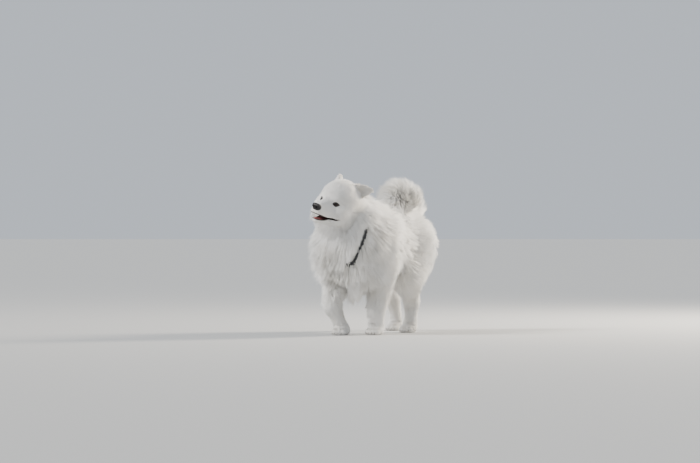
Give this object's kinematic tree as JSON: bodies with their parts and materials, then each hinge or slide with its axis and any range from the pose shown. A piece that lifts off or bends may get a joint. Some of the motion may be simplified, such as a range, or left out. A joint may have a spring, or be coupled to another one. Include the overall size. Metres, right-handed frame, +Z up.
{
  "type": "samoyed dog",
  "caption": "Life-size still model of a walking white long-coated dog with a tilted head, a tail curled over the back and a loose strap collar.",
  "frame": {"origin": "middle of the bounding box, on the floor that the four paws stand on", "axes": "+Z up, +Y from the head towards the tail, +X the dog's left"},
  "size_m": [0.4028, 0.9011, 0.7143],
  "materials": {
    "coat": "long soft white guard hair over a dense undercoat",
    "paw_fur": "short dense white fur",
    "ear_fur": "short dense white fur",
    "eye": "wet dark brown",
    "nose_leather": "black, pebbled, slightly wet",
    "lip": "black, smooth, slightly wet",
    "tongue": "wet dark pink",
    "strap": "dark woven webbing",
    "metal": "grey steel, softly polished"
  },
  "bodies": {
    "root": {"head": "coat", "neck": "coat", "torso": "coat", "tail": "coat", "foreleg_left": "coat", "foreleg_right": "coat", "hindleg_left": "coat", "hindleg_right": "coat", "paw_foreleg_left": "paw_fur", "paw_foreleg_right": "paw_fur", "paw_hindleg_left": "paw_fur", "paw_hindleg_right": "paw_fur", "ear_left": "ear_fur", "ear_right": "ear_fur", "eye_left": "eye", "eye_right": "eye", "nose": "nose_leather", "lip_upper": "lip", "lip_lower": "lip", "tongue": "tongue", "collar_strap": "strap", "collar_tab": "strap", "collar_ring": "metal", "collar_slide": "metal"}
  },
  "joints": []
}
